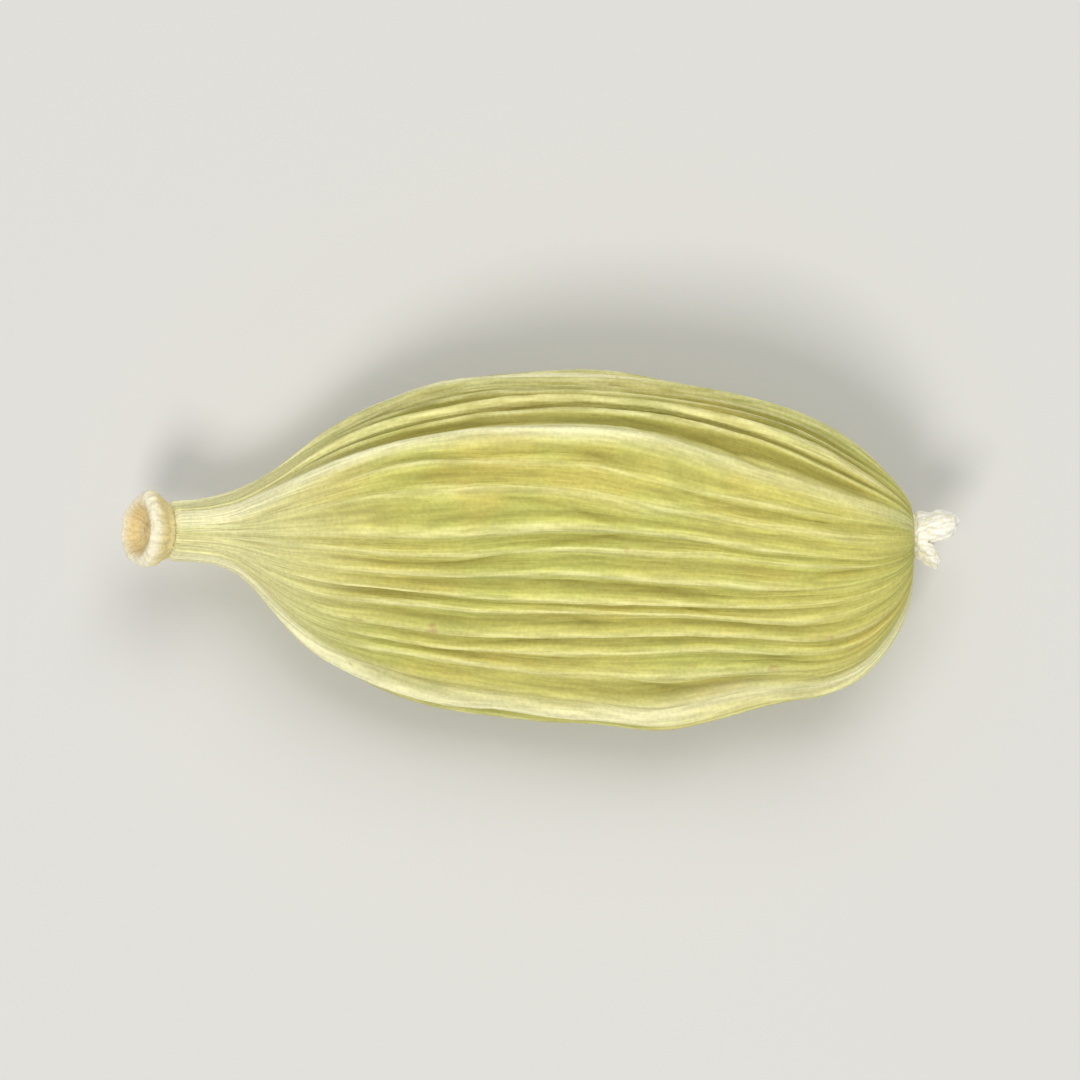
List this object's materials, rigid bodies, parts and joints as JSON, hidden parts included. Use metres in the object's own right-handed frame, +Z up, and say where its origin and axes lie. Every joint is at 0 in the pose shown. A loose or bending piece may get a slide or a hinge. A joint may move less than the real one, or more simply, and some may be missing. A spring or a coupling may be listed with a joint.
{
  "type": "cardamom pod",
  "caption": "Dried green cardamom pod: a plump three-sided ribbed husk with a short stalk stub at one end and the dried remains of its flower at the other.",
  "frame": {"origin": "centre of the bounding box's bottom face, on the surface that the pod lies on", "axes": "+X along the pod from the stalk end to the tip, +Z up, +Y towards the flank that the top keel leans to"},
  "size_m": [0.0184, 0.008, 0.0063],
  "materials": {
    "husk": "dry, matt, papery plant skin with fine lengthwise ribs",
    "stalk": "dry, matt, fibrous stalk with a hollow scar",
    "flower": "dry, matt, withered petal"
  },
  "bodies": {
    "root": {"husk": "husk", "stalk_stub": "stalk", "flower_remnant": "flower"}
  },
  "joints": []
}
